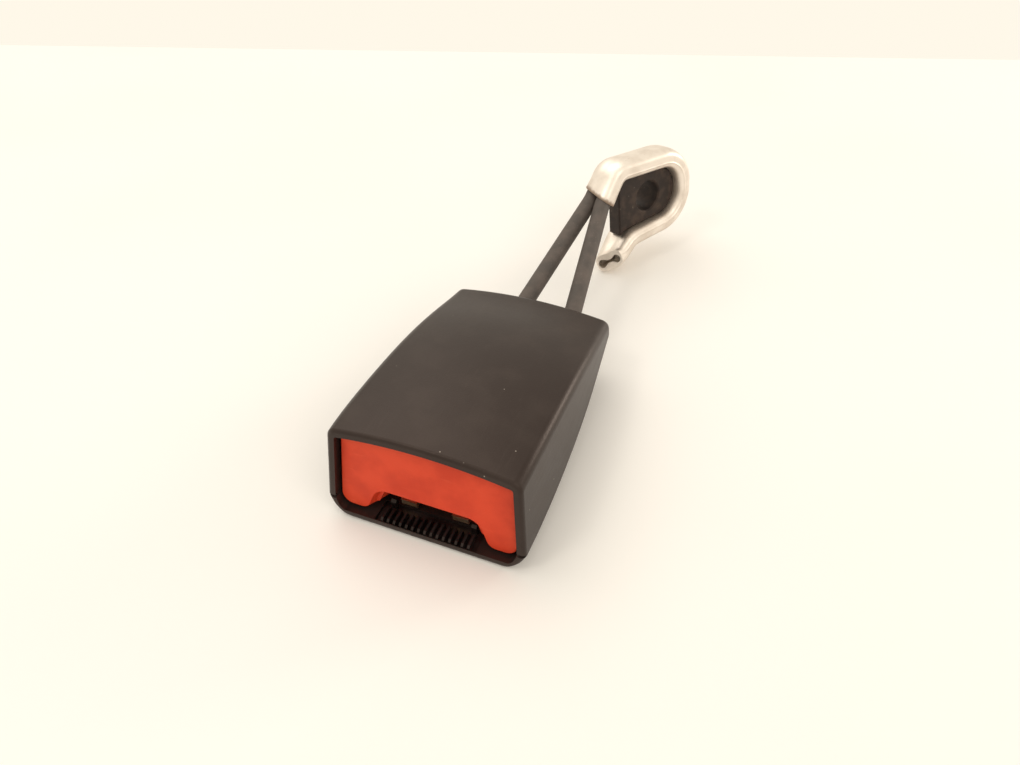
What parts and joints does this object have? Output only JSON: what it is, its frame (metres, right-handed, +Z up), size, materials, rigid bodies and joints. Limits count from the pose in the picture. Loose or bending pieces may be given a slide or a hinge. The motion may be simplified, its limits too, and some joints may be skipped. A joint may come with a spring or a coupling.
{
  "type": "seat belt buckle",
  "caption": "Seat belt buckle with a front push button, latch and ejector, on a sheathed wire rope ending in a clamped anchor eye.",
  "frame": {"origin": "under the middle of the whole part, on the surface it lies on", "axes": "+Y from the tongue slot to the anchor end, +Z up out of the upper cover, +X to the right seen from the slot"},
  "size_m": [0.0633, 0.1858, 0.0438],
  "materials": {
    "cover_plastic": "black fine-grained satin moulding",
    "guide_plastic": "black smooth moulding",
    "button_plastic": "orange-red matte moulding",
    "plated_steel": "zinc plated pressing with a yellow tint",
    "pin_steel": "bright turned steel",
    "spring_steel": "drawn spring wire",
    "ferrule_aluminium": "dull pressed aluminium",
    "plate_steel": "near-black painted steel",
    "rope_steel": "laid steel strands",
    "sheath_rubber": "grey-brown matte sleeve"
  },
  "bodies": {
    "housing": {"lower_cover": "cover_plastic", "upper_cover": "cover_plastic", "tongue_guide": "guide_plastic", "buckle_frame": "plated_steel", "latch_pin": "pin_steel", "pin_clip": "spring_steel", "ejector_seat": "plated_steel", "ejector_spring": "spring_steel", "button_spring_left": "spring_steel", "button_spring_right": "spring_steel", "latch_spring": "spring_steel", "cable_saddle": "plated_steel", "saddle_rivet": "pin_steel", "wire_rope": "rope_steel", "sheath_left": "sheath_rubber", "sheath_right": "sheath_rubber", "ferrule": "ferrule_aluminium", "anchor_plate": "plate_steel"},
    "button": {"push_button": "button_plastic", "release_yoke": "plated_steel"},
    "latch": {"latch_plate": "plated_steel"},
    "ejector": {"ejector": "guide_plastic"}
  },
  "joints": [
    {"name": "button_press", "type": "slide", "parent": "housing", "child": "button", "axis": [0, 1, 0], "range_m": [0, 0.005], "stiffness_N_per_m": 1200, "springref_m": -0.004, "deforming": ["button_spring_left", "button_spring_right"]},
    {"name": "latch_lift", "type": "hinge", "parent": "housing", "child": "latch", "pos_m": [-0.00138, -0.04071, 0.02013], "axis": [-1, 0, 0], "range_deg": [0, 10], "deforming": ["latch_spring"]},
    {"name": "ejector_slide", "type": "slide", "parent": "housing", "child": "ejector", "axis": [0, 0.9936, 0.1132], "range_m": [0, 0.012], "stiffness_N_per_m": 500, "springref_m": -0.006, "deforming": ["ejector_spring"]}
  ],
  "couplings": [
    {"joint": "latch_lift", "follows": "button_press", "rad_per_m": 34.9}
  ]
}
